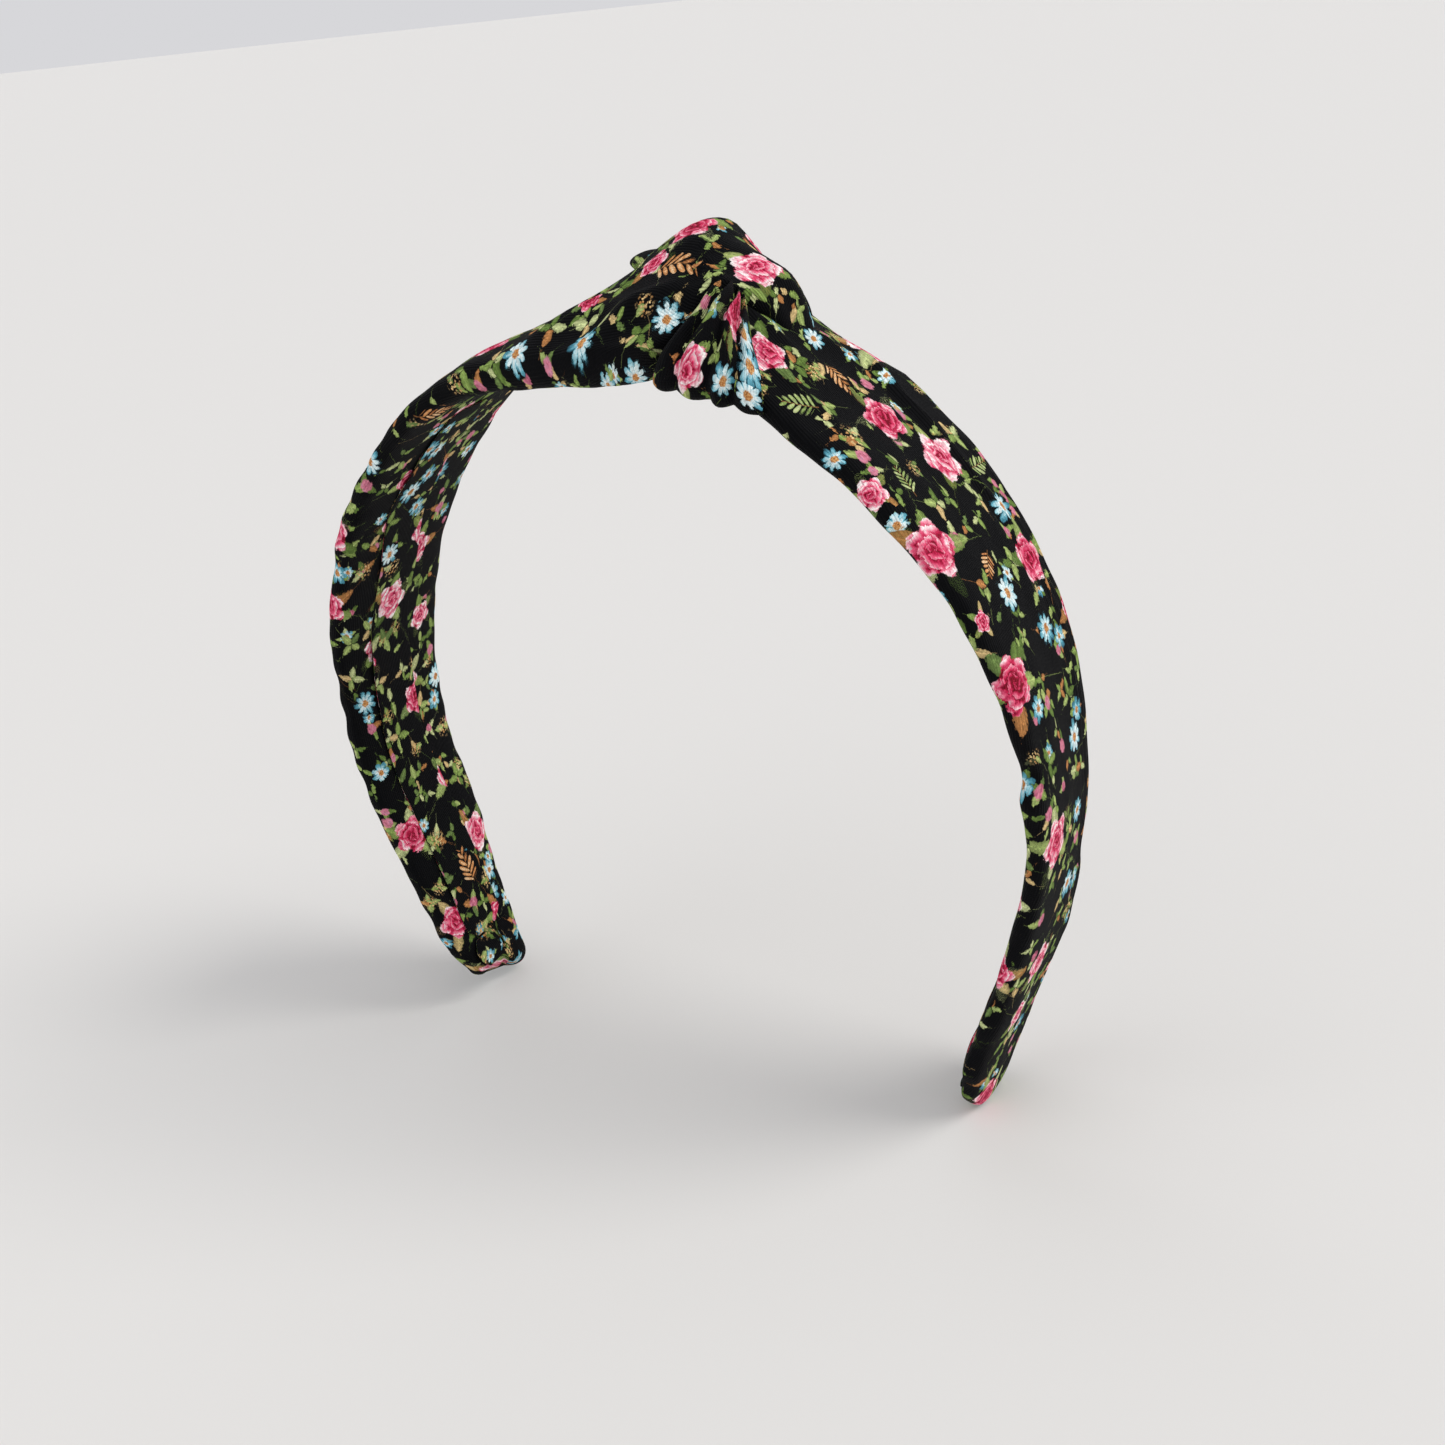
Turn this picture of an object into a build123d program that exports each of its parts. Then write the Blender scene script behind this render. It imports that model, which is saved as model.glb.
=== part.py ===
from build123d import *
import os
from math import cos, radians, sin

# Knotted fabric headband, in millimetres. +Z goes up through the knot, X runs from arm to arm
# and Y from the forehead side (-Y) to the back. The origin is midway between the arms, at the
# level where they are widest apart.
os.makedirs("parts", exist_ok=True)

# The inner line of the band, from the top down each arm: three arcs that meet tangentially.
CROWN_RADIUS = 51.3
CROWN_ANGLE = 35.0
SIDE_RADIUS = 72.9
SIDE_ANGLE = 70.0
LEG_RADIUS = 318.0
LEG_ANGLE = 8.0

# Width of the cover, front to back, at a few levels. It tapers from the knot to the tips.
CROWN_WIDTH = 34.0
CROWN_LEVEL = 58.0
WAIST_WIDTH = 24.6
WAIST_LEVEL = -4.0
LOW_WIDTH = 21.4
LOW_LEVEL = -46.0
TIP_LEVEL = {"left": -55.0, "right": -57.5}
TIP_WIDTH = {"left": 16.4, "right": 14.5}
TIP_ROUNDING = {"left": 2.5, "right": 5.5}

# Layers, as heights above the inner line. The core has a little play in the sleeves.
CLOTH = 0.4
GLUE = 0.2
CORE_PLAY = 0.1
CORE_THICKNESS = 1.4
FOAM_THICKNESS = 1.6
GLUE_TO = CLOTH + GLUE
CORE_FROM = GLUE_TO + CORE_PLAY
CORE_TO = CORE_FROM + CORE_THICKNESS
FOAM_FROM = CORE_TO + CORE_PLAY
FOAM_TO = FOAM_FROM + FOAM_THICKNESS
COVER_TO = FOAM_TO + CLOTH
EDGE_ROUNDING = 1.6

# How far the inner pieces stay in from the cover's edges and from its closed tip.
CORE_INSET = 2.0
FOAM_INSET = 3.2
GLUE_WIDTH = 7.0
CORE_TIP_GAP = 1.6
FOAM_TIP_GAP = 6.0

# The strip's overlapped edge inside each arm, and the folds at the tips. The left tip ends
# higher than the right one.
FLAP_WIDTH = 10.5
FLAP_CENTRE = -1.5
FLAP_TIP_GAP = 8.0
FOLD_THICKNESS = 0.8
FOLD_HEIGHT = 7.0
FOLD_GAP = 0.8

# Each arm springs outwards about a line across the band, halfway through its thickness.
# The arm ends in a round nose there, and the knot's cloth stops short of it.
NOSE_RADIUS = COVER_TO / 2
MOUTH_RADIUS = NOSE_RADIUS + 0.3

# The knot, a little right of centre.
KNOT_SPLIT = 12.0
KNOT_FOOT = 62.0
KNOT_TOP = 86.5
LOOP_DEPTH = 30.0
WRAP_LEFT = 3.0
WRAP_RIGHT = 25.0
WRAP_FRONT = -21.0
WRAP_BACK = 19.5
WRAP_FROM = 13.0
PAD_THICKNESS = 0.5
PAD_SIZE = 16.0
SIDE_FOLD_RADIUS = 2.4
SIDE_FOLD_LENGTH = 9.0

SPACE = 200.0
SIDES = {"left": -1, "right": 1}

SIDE_END = CROWN_ANGLE + SIDE_ANGLE
BAND_END = SIDE_END + LEG_ANGLE


def along(centre, radius, angle):
    """Point at an angle from the top, clockwise, on a circle in the side view."""
    return (centre[0] + radius * sin(radians(angle)), centre[1] + radius * cos(radians(angle)))


CROWN_CENTRE = (0.0, (SIDE_RADIUS - CROWN_RADIUS) * cos(radians(CROWN_ANGLE)))
SIDE_CENTRE = along(CROWN_CENTRE, CROWN_RADIUS - SIDE_RADIUS, CROWN_ANGLE)
LEG_CENTRE = along(SIDE_CENTRE, SIDE_RADIUS - LEG_RADIUS, SIDE_END)


def mirrored(centre):
    return (-centre[0], centre[1])


# Centre, radius, first and last angle of each arc, from the left tip to the right tip.
ARCS = (
    (mirrored(LEG_CENTRE), LEG_RADIUS, -BAND_END, -SIDE_END),
    (mirrored(SIDE_CENTRE), SIDE_RADIUS, -SIDE_END, -CROWN_ANGLE),
    (CROWN_CENTRE, CROWN_RADIUS, -CROWN_ANGLE, CROWN_ANGLE),
    (SIDE_CENTRE, SIDE_RADIUS, CROWN_ANGLE, SIDE_END),
    (LEG_CENTRE, LEG_RADIUS, SIDE_END, BAND_END),
)


def band_point(angle, height):
    """Point in the side view where the band has turned by an angle, at a height."""
    for centre, radius, first, last in ARCS:
        if first <= angle <= last:
            return along(centre, radius + height, angle)
    raise ValueError("angle is past the tips")


def layer_outline(low, high, start, end):
    """Side view of the layer between two heights above the inner line."""
    edges = []
    for centre, radius, first, last in ARCS:
        first = max(first, start)
        last = min(last, end)
        if first < last:
            for height in (low, high):
                edges.append(CenterArc(centre, radius + height, 90 - first, first - last))
    for angle in (start, end):
        edges.append(Line(band_point(angle, low), band_point(angle, high)))
    return make_face(edges)


def across(outline, front, back):
    """Side-view outline extruded from its front (-Y) to its back (+Y)."""
    return Pos(0, back, 0) * extrude(Plane.XZ * outline, back - front)


def taper(side, inset, tip_gap=0.0):
    """Block with the cover's taper as seen from the side, less an inset on each edge."""
    tip = TIP_LEVEL[side] + tip_gap
    points = [
        (CROWN_WIDTH / 2 - inset, SPACE),
        (CROWN_WIDTH / 2 - inset, CROWN_LEVEL),
        (WAIST_WIDTH / 2 - inset, WAIST_LEVEL),
        (LOW_WIDTH / 2 - inset, LOW_LEVEL),
        (TIP_WIDTH[side] / 2 - inset, tip),
    ]
    outline = make_face(Polyline(*points, *[(-y, z) for y, z in reversed(points)], close=True))
    corners = outline.vertices().sort_by(Axis.Y)[:2]
    outline = fillet(corners, max(TIP_ROUNDING[side] - inset, 0.8))
    return extrude(Plane.YZ * outline, SPACE, dir=(SIDES[side], 0, 0))


def hinge_plane(side):
    """Plane across the band at the arm's hinge line, facing the tip."""
    x, z = band_point(CROWN_ANGLE, NOSE_RADIUS)
    turn = radians(CROWN_ANGLE)
    return Plane((SIDES[side] * x, 0, z), x_dir=(0, 1, 0), z_dir=(SIDES[side] * cos(turn), 0, -sin(turn)))


def roller(side, radius):
    """Cylinder about the hinge line."""
    return hinge_plane(side) * Rot(0, 90, 0) * Cylinder(radius, SPACE)


def arm_part(side, low, high, inset, tip_gap=0.0):
    """One layer of an arm, from its round nose at the hinge to the tip."""
    nose_start = CROWN_ANGLE - 4.0
    if side == "right":
        outline = layer_outline(low, high, nose_start, BAND_END)
    else:
        outline = layer_outline(low, high, -BAND_END, -nose_start)
    layer = across(outline, -CROWN_WIDTH, CROWN_WIDTH) & taper(side, inset, tip_gap)
    behind = hinge_plane(side) * Box(SPACE, SPACE, SPACE, align=(Align.CENTER, Align.CENTER, Align.MAX))
    return layer - (behind - roller(side, NOSE_RADIUS))


def crown_part(shape):
    """Crown cloth, cut back round both arms' noses."""
    return shape - roller("left", MOUTH_RADIUS) - roller("right", MOUTH_RADIUS)


def strip(part, centre, width):
    """The stretch of a part that lies inside a strip along the band."""
    return part & Pos(0, centre, 0) * Box(SPACE * 2, width, SPACE * 2)


def below(part, level):
    return part & Pos(0, 0, level - SPACE) * Box(SPACE * 2, SPACE * 2, SPACE * 2)


def above(part, level):
    return part & Pos(0, 0, level + SPACE) * Box(SPACE * 2, SPACE * 2, SPACE * 2)


def sleeve(side):
    """Hollow cloth sleeve, closed at the tip and open at the nose for the core."""
    outside = arm_part(side, 0, COVER_TO, 0)
    long_edges = outside.edges().filter_by(lambda e: e.length > 8 and abs(e.center().Y) > LOW_WIDTH / 3)
    outside = fillet(long_edges, EDGE_ROUNDING)
    start, end = (0, BAND_END) if side == "right" else (-BAND_END, 0)
    inside = across(layer_outline(CLOTH, FOAM_TO, start, end), -CROWN_WIDTH, CROWN_WIDTH)
    return outside - (inside & taper(side, CORE_INSET - CORE_PLAY, CORE_TIP_GAP - CORE_PLAY))


def core():
    """One-piece springy plastic band, rounded at both tips."""
    layer = across(layer_outline(CORE_FROM, CORE_TO, -BAND_END, BAND_END), -CROWN_WIDTH, CROWN_WIDTH)
    return layer & (taper("left", CORE_INSET, CORE_TIP_GAP) + taper("right", CORE_INSET, CORE_TIP_GAP))


def dome(outline, depth, top):
    """Side-view outline rounded over from front to back, under a half ellipse."""
    arch = Plane.YZ * Pos(0, KNOT_FOOT) * Ellipse(depth / 2, top - KNOT_FOOT)
    return across(outline, -depth, depth) & extrude(arch, SPACE, both=True)


def knot_left_strand():
    """Broad strand that comes off the left arm and climbs to the right."""
    base = layer_outline(CORE_FROM, COVER_TO, -CROWN_ANGLE, KNOT_SPLIT)
    climb = [
        ThreePointArc((-24, 67.9), (-6, 75.8), (5, 82.5)),
        Polyline((5, 82.5), (13, 80.5), (11, 69), (-22, 64), (-24, 67.9)),
    ]
    rise = dome(make_face(climb), CROWN_WIDTH, KNOT_TOP)
    return across(base, -CROWN_WIDTH / 2, CROWN_WIDTH / 2) + rise


def knot_right_strand():
    """Strand that comes out low on the right and runs on as the right sleeve."""
    base = layer_outline(CORE_FROM, COVER_TO, KNOT_SPLIT, CROWN_ANGLE)
    swell = [
        ThreePointArc((11, 74), (22, 71.5), (29.5, 63.5)),
        Polyline((29.5, 63.5), (26, 62), (11, 69), (11, 74)),
    ]
    return across(base, -CROWN_WIDTH / 2, CROWN_WIDTH / 2) + dome(make_face(swell), CROWN_WIDTH, KNOT_TOP)


def knot_top_loop():
    """Smooth raised loop that makes the peak and tucks in at the right."""
    outline = [
        ThreePointArc((4, 80), (13.5, 85.6), (21, 80.6)),
        ThreePointArc((21, 80.6), (27.5, 75.5), (29.5, 67)),
        Polyline((29.5, 67), (20, 70), (5, 74), (4, 80)),
    ]
    return dome(make_face(outline), LOOP_DEPTH, KNOT_TOP)


def knot_wrap(front, back):
    """Turn of the knot outside one edge of the band."""
    outline = [
        ThreePointArc((WRAP_LEFT, 76), (14, 79.5), (WRAP_RIGHT, 73)),
        Polyline((WRAP_RIGHT, 73), (WRAP_RIGHT, 63), (14, 67.2), (WRAP_LEFT, 69), (WRAP_LEFT, 76)),
    ]
    wrap = across(make_face(outline), front, back)
    outer = wrap.faces().sort_by(Axis.Y)[0 if front < 0 else -1]
    return fillet(outer.edges(), 2.5)


def build():
    parts = {}
    band_core = core()
    parts["band_core"] = band_core
    for side in SIDES:
        parts[f"{side}_sleeve"] = sleeve(side)
        parts[f"{side}_foam_strip"] = arm_part(side, FOAM_FROM, FOAM_TO, FOAM_INSET, FOAM_TIP_GAP)
        glue = arm_part(side, CLOTH, GLUE_TO, FOAM_INSET, FOAM_TIP_GAP)
        parts[f"{side}_glue_strip"] = strip(glue, 0, GLUE_WIDTH)
        flap = strip(arm_part(side, -CLOTH, 0, 0), FLAP_CENTRE, FLAP_WIDTH)
        parts[f"{side}_seam_flap"] = above(flap, TIP_LEVEL[side] + FLAP_TIP_GAP)
        folds = below(arm_part(side, -FOLD_THICKNESS, 0, 1.0, 0), TIP_LEVEL[side] + FOLD_HEIGHT)
        if side == "left":
            lobe = TIP_WIDTH[side] / 2
            parts["left_tip_front_fold"] = strip(folds, -lobe / 2 - FOLD_GAP / 2, lobe)
            parts["left_tip_back_fold"] = strip(folds, lobe / 2 + FOLD_GAP / 2, lobe)
        else:
            parts["right_tip_fold"] = folds
    lining = across(layer_outline(0, CORE_FROM, -CROWN_ANGLE, CROWN_ANGLE), -CROWN_WIDTH / 2, CROWN_WIDTH / 2)
    parts["crown_lining"] = crown_part(lining)
    pad = across(layer_outline(CORE_TO, CORE_TO + PAD_THICKNESS, -8, 28), -PAD_SIZE / 2, PAD_SIZE / 2)
    parts["knot_glue_pad"] = pad
    knot = {
        "knot_left_strand": knot_left_strand(),
        "knot_right_strand": knot_right_strand(),
        "knot_top_loop": knot_top_loop(),
        "knot_front_wrap": knot_wrap(WRAP_FRONT, -WRAP_FROM),
        "knot_back_wrap": knot_wrap(WRAP_FROM, WRAP_BACK),
        "knot_side_fold": Pos(4, -3, 81.5) * Rot(90, 0, 0) * Cylinder(SIDE_FOLD_RADIUS, SIDE_FOLD_LENGTH),
    }
    over_head = across(layer_outline(0, KNOT_FOOT, -CROWN_ANGLE, CROWN_ANGLE), -CROWN_WIDTH, CROWN_WIDTH)
    inside = band_core + pad + lining
    for name, shape in knot.items():
        parts[name] = crown_part((shape & over_head) - inside)
        inside = inside + shape
    return parts


for node, shape in build().items():
    export_step(shape, f"parts/{node}.step")
    print(node, round(shape.volume, 1), len(shape.solids()))
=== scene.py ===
import math
import bpy
import numpy as np
from mathutils import Matrix, Vector


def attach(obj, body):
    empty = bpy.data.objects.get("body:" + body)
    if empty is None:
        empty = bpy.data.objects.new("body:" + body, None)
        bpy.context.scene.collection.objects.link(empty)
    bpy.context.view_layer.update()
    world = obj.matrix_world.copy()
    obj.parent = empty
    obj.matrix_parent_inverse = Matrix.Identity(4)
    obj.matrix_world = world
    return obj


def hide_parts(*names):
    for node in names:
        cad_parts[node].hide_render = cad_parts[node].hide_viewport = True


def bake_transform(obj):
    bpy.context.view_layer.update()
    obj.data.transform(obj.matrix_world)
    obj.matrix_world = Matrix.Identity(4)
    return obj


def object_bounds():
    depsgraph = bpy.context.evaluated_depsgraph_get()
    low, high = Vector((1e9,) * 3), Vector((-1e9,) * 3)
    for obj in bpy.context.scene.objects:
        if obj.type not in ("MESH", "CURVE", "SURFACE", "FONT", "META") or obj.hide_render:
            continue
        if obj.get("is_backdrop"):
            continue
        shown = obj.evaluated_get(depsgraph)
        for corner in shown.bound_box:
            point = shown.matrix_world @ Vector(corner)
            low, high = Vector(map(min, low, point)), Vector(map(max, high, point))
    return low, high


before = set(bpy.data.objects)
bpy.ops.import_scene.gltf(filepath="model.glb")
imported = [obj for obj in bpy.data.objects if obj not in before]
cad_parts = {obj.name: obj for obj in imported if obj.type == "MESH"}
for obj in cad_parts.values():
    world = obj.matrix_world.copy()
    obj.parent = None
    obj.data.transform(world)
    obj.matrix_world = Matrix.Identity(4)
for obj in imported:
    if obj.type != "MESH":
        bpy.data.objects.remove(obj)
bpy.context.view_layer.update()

MM = 0.001

# -------- the band's own coordinates
# s runs along the inner line from the top, positive to the right; y runs across the band,
# front negative; h is the height above the inner line. All in millimetres.
CROWN_RADIUS = 51.3
CROWN_TURN = math.radians(35)
SIDE_RADIUS = 72.9
SIDE_TURN = math.radians(70)
LEG_RADIUS = 318.0
CROWN_RUN = CROWN_RADIUS * CROWN_TURN
SIDE_RUN = SIDE_RADIUS * SIDE_TURN

# Each arm's tip: its level, half its width there and the radius of its corners.
TIP_LEVEL = {"left": -53.5, "right": -57.5}
TIP_HALF = {"left": 8.2, "right": 6.7}
TIP_ROUNDING = {"left": 2.5, "right": 5.5}


def ease(x, low, high):
    """Smooth step from 0 at low to 1 at high."""
    t = np.clip((x - low) / (high - low), 0, 1)
    return t * t * (3 - 2 * t)


def step_centre(centre, change, turn):
    """Centre of the next arc, which is tangent to the last one at that turn."""
    return (centre[0] + change * math.sin(turn), centre[1] + change * math.cos(turn))


CROWN_CENTRE = (0.0, (SIDE_RADIUS - CROWN_RADIUS) * math.cos(CROWN_TURN))
SIDE_CENTRE = step_centre(CROWN_CENTRE, CROWN_RADIUS - SIDE_RADIUS, CROWN_TURN)
LEG_CENTRE = step_centre(SIDE_CENTRE, SIDE_RADIUS - LEG_RADIUS, CROWN_TURN + SIDE_TURN)


def place(s, y, h):
    """Points in the row frame, in millimetres, from the band's coordinates. The right arm
    twists a little towards its tip, which turns outwards."""
    s, y, h = np.broadcast_arrays(*(np.asarray(values, float) for values in (s, y, h)))
    twist = 0.11 * ease(s, 104, 128) * y
    lean = 0.8 * ease(s, 112, 130)
    turn_out = 2.6 * ease(s, 144, 168)
    h = h + twist + lean + turn_out
    run = np.abs(s)
    on_crown = run < CROWN_RUN
    on_side = run < CROWN_RUN + SIDE_RUN
    side_turn = CROWN_TURN + (run - CROWN_RUN) / SIDE_RADIUS
    leg_turn = CROWN_TURN + SIDE_TURN + (run - CROWN_RUN - SIDE_RUN) / LEG_RADIUS
    turn = np.where(on_crown, run / CROWN_RADIUS, np.where(on_side, side_turn, leg_turn))
    radius = np.where(on_crown, CROWN_RADIUS, np.where(on_side, SIDE_RADIUS, LEG_RADIUS)) + h
    x = np.where(on_crown, CROWN_CENTRE[0], np.where(on_side, SIDE_CENTRE[0], LEG_CENTRE[0]))
    z = np.where(on_crown, CROWN_CENTRE[1], np.where(on_side, SIDE_CENTRE[1], LEG_CENTRE[1]))
    x = np.where(s < 0, -1, 1) * (x + radius * np.sin(turn))
    return np.stack([x, y, z + radius * np.cos(turn)], axis=-1)


def run_to(side):
    """Distance along the inner line, without its sign, from the top to an arm's tip."""
    s = np.linspace(120, 164, 441)
    return float(np.interp(-TIP_LEVEL[side], -place(s, 0, 0)[:, 2], s))


def half_width(s, side):
    """Half the cover's width, front to back: it narrows from the top to the tips."""
    z = place(s, 0, 0)[..., 2]
    return np.interp(z, [TIP_LEVEL[side], -46, -4, 58], [TIP_HALF[side], 10.7, 12.3, 17])


def draw_in(s, side):
    """How far the back edge draws in over the last stretch of the left arm, in mm."""
    tip = run_to("left")
    return 3.0 * ease(np.abs(s), tip - 30, tip - 6) * (side == "left")


# -------- curves and small waves
def smooth(x, keys, values):
    """Curve through the values at the keys that doesn't overshoot between them."""
    step = np.diff(keys)
    slope = np.diff(values) / step
    tangent = np.zeros(len(keys))
    same = slope[1:] * slope[:-1] > 0
    total = np.where(same, slope[1:] + slope[:-1], 1)
    tangent[1:-1] = np.where(same, 2 * slope[1:] * slope[:-1] / total, 0)
    tangent[0], tangent[-1] = slope[0], slope[-1]
    i = np.clip(np.searchsorted(keys, x) - 1, 0, len(step) - 1)
    t = np.clip((x - keys[i]) / step[i], 0, 1)
    start = (1 + 2 * t) * (1 - t) ** 2 * values[i] + t * (1 - t) ** 2 * step[i] * tangent[i]
    end = t * t * (3 - 2 * t) * values[i + 1] + t * t * (t - 1) * step[i] * tangent[i + 1]
    return start + end


# Waves added together, and the usual spread of their sum.
WAVE_COUNT = 7
WAVE_SPREAD = 2.6


def waves(a, b, size, seed, stretch=1.0):
    """Soft irregular waves over two coordinates, about -1 to 1, of roughly that size in mm."""
    rng = np.random.default_rng(seed)
    total = 0
    for _ in range(WAVE_COUNT):
        turn = rng.uniform(0, math.tau)
        length = size * rng.uniform(0.7, 1.6)
        phase = rng.uniform(0, math.tau)
        along = a * math.cos(turn) + b * math.sin(turn) * stretch
        total = total + np.sin(math.tau / length * along + phase)
    return total / WAVE_SPREAD


def bump(x, centre, reach):
    """Bell curve, 1 at the centre and 0.37 at the reach."""
    return np.exp(-(((x - centre) / reach) ** 2))


# -------- lofted cloth
TUBE_PITCH = 0.8
TUBE_AROUND = 96
TIP_CLOSING = 2
TIP_ROWS = np.array([0.0, 0.06, 0.2, 0.45, 0.8, 1.2, 1.7, 2.3, 3.0])


def section(half, low, belly, top, shift, tent, roll, box, count):
    """Closed outline across a strand: y, h and distance round it, from its inner middle. Tent
    narrows its upper half, shift moves that sideways, roll tilts all of it and box squares it."""
    turn = np.linspace(-0.5 * math.pi, -2.5 * math.pi, 721)
    across = np.sign(np.cos(turn)) * np.abs(np.cos(turn)) ** (2 / box)
    up = np.sign(np.sin(turn)) * np.abs(np.sin(turn)) ** (2 / box)
    rise = np.maximum(up, 0)
    y = half * across * (1 - tent * rise) + shift * rise
    h = belly + np.where(up > 0, top - belly, belly - low) * up - roll * y / half
    length = np.concatenate([[0], np.cumsum(np.hypot(np.diff(y), np.diff(h)))])
    even = np.linspace(0, length[-1], count + 1)
    return np.interp(even, length, y), np.interp(even, length, h), even - length[-1] / 2


def tube(stations, side):
    """Grid of band coordinates for a strand. Stations hold s, y, share of the band's width,
    low, belly and top height, shift of the top, tent, roll and boxiness. The rows lie close
    together at the tip, where the corners are rounded and the tube closes."""
    keys = np.array(stations, float)
    tip = run_to(side) * (-1 if side == "left" else 1)
    count = int(abs(keys[-1, 0] - keys[0, 0]) / TUBE_PITCH)
    run = np.linspace(keys[0, 0], keys[-1, 0], count)
    run = np.unique(np.concatenate([run, tip + (TIP_ROWS if side == "left" else -TIP_ROWS)]))
    run = run[np.concatenate([[True], np.diff(run) > 0.04])]
    columns = [smooth(run, keys[:, 0], keys[:, i]) for i in range(1, keys.shape[1])]
    grid = {"s": [], "y": [], "h": [], "v": []}
    rounding = TIP_ROUNDING[side]
    for s, y, share, low, belly, top, shift, tent, roll, box in zip(run, *columns):
        half = float(half_width(s, side)) * share
        end = abs(s - tip)
        if end < rounding:
            half += math.sqrt(rounding ** 2 - (rounding - end) ** 2) - rounding
        if end < TIP_CLOSING:
            thin = max(0.12, math.sqrt(1 - (1 - end / TIP_CLOSING) ** 2))
            low, top = belly + (low - belly) * thin, belly + (top - belly) * thin
        ys, hs, vs = section(half, low, belly, top, shift, tent, roll, box, TUBE_AROUND)
        row = {"s": np.full(TUBE_AROUND + 1, s), "y": ys + y, "h": hs, "v": vs}
        for name, values in row.items():
            grid[name].append(values)
    grid = {name: np.array(rows) for name, rows in grid.items()}
    grid["from_tip"] = np.abs(grid["s"] - tip)
    top_line = place(grid["s"], grid["y"], grid["h"])[:, TUBE_AROUND // 2]
    steps = np.linalg.norm(np.diff(top_line, axis=0), axis=1)
    distance = np.concatenate([[0], np.cumsum(steps)])
    grid["u"] = np.repeat(distance[:, None], TUBE_AROUND + 1, axis=1)
    return grid


def normals(points):
    """Outward unit normals of a grid that closes round its second axis."""
    along = np.gradient(points, axis=0)
    closed = np.concatenate([points[:, -2:-1], points, points[:, 1:2]], axis=1)
    round_ = (closed[:, 2:] - closed[:, :-2]) / 2
    normal = np.cross(round_, along)
    return normal / np.maximum(np.linalg.norm(normal, axis=-1, keepdims=True), 1e-9)


def grid_faces(rows, columns):
    """Quads of a grid that closes round its second axis: each corner's row and column. The
    last column is the first one again."""
    i, j = np.meshgrid(np.arange(rows - 1), np.arange(columns), indexing="ij")
    i, j = i.ravel(), j.ravel()
    return np.stack([i, i + 1, i + 1, i], 1), np.stack([j, j, j + 1, j + 1], 1)


def enclosed(coords, quads):
    """Measure of the volume inside a tube's quads, negative if they face inwards."""
    a, b, c, d = (coords[quads[:, k]] for k in range(4))
    return float(np.sum(np.cross(a, b) * c) + np.sum(np.cross(a, c) * d))


def add_object(name, data):
    piece = bpy.data.objects.new(name, data)
    bpy.context.scene.collection.objects.link(piece)
    return piece


def cloth_mesh(name, points, cloth):
    """Mesh object from such a grid, with a fan over each end. The last column repeats the
    first, so that the print's coordinates can differ on the two sides of the seam."""
    rows, columns = points.shape[0], points.shape[1] - 1
    i, j = grid_faces(rows, columns)
    quads = i * columns + j % columns
    coords = points[:, :-1].reshape(-1, 3)
    faces = [tuple(q) for q in quads]
    cloth_at = list(cloth[i, j].reshape(-1, 2))
    for row, order in ((0, 1), (rows - 1, -1)):
        centre = len(coords)
        coords = np.vstack([coords, points[row, :-1].mean(0)])
        middle = cloth[row, columns // 2]
        for k in range(columns):
            pair = [k, (k + 1) % columns][::order]
            faces.append((row * columns + pair[0], row * columns + pair[1], centre))
            cloth_at += [cloth[row, k], cloth[row, k + 1]][::order] + [middle]
    if enclosed(coords, quads) < 0:
        faces = [face[::-1] for face in faces]
        sizes = [len(face) for face in faces]
        ends = np.cumsum(sizes)
        cloth_at = [cloth_at[end - 1 - k] for end, size in zip(ends, sizes) for k in range(size)]
    mesh = bpy.data.meshes.new(name)
    mesh.from_pydata((coords * MM).tolist(), [], [tuple(int(v) for v in f) for f in faces])
    mesh.polygons.foreach_set("use_smooth", [True] * len(mesh.polygons))
    set_corners(mesh, "cloth", np.array(cloth_at))
    return add_object(name, mesh)


def set_corners(mesh, name, values):
    """Stores two or three numbers for each face corner."""
    flat = np.zeros((len(mesh.loops), 3), np.float32)
    flat[:, :values.shape[1]] = values
    mesh.attributes.new(name, "FLOAT_VECTOR", "CORNER").data.foreach_set("vector", flat.ravel())


def corners(mesh):
    """Place on the cloth of each face corner: u along it and v across it, in mm."""
    values = np.zeros(len(mesh.loops) * 3, np.float32)
    mesh.attributes["cloth"].data.foreach_get("vector", values)
    return values.reshape(-1, 3)[:, :2]


# Scattered motifs, as shares of their spacing: step between rows, most a motif strays from its
# place, and least distance to another.
ROW_STEP = 0.86
STRAY = 0.34
CLEARANCE = 0.66


def scatter(mesh, placed, spacing, seed, clear):
    """Placed motifs, plus seeded ones over the rest of the cloth, each (u, v, radius), that
    keep away from those to clear."""
    uv = corners(mesh)
    rng = np.random.default_rng(seed)
    low, high = uv.min(0), uv.max(0)
    motifs = list(placed)
    blocked = list(placed) + list(clear)
    for u in np.arange(low[0], high[0], spacing * ROW_STEP):
        for v in np.arange(low[1], high[1], spacing):
            at_u = u + rng.uniform(-STRAY, STRAY) * spacing
            at_v = v + rng.uniform(-STRAY, STRAY) * spacing
            motif = (at_u, at_v, rng.uniform(0.82, 1.14))
            if all(math.hypot(at_u - m[0], at_v - m[1]) > spacing * CLEARANCE for m in blocked):
                motifs.append(motif)
                blocked.append(motif)
    return motifs


# Stands for "no motif": it is off every cloth.
FAR_MOTIF = (1000.0, 1000.0, 1.0)
# Each motif is turned and seeded differently from the last one, by these steps.
TURN_STEP = 2.4
SEED_STEP = 0.618034


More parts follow.
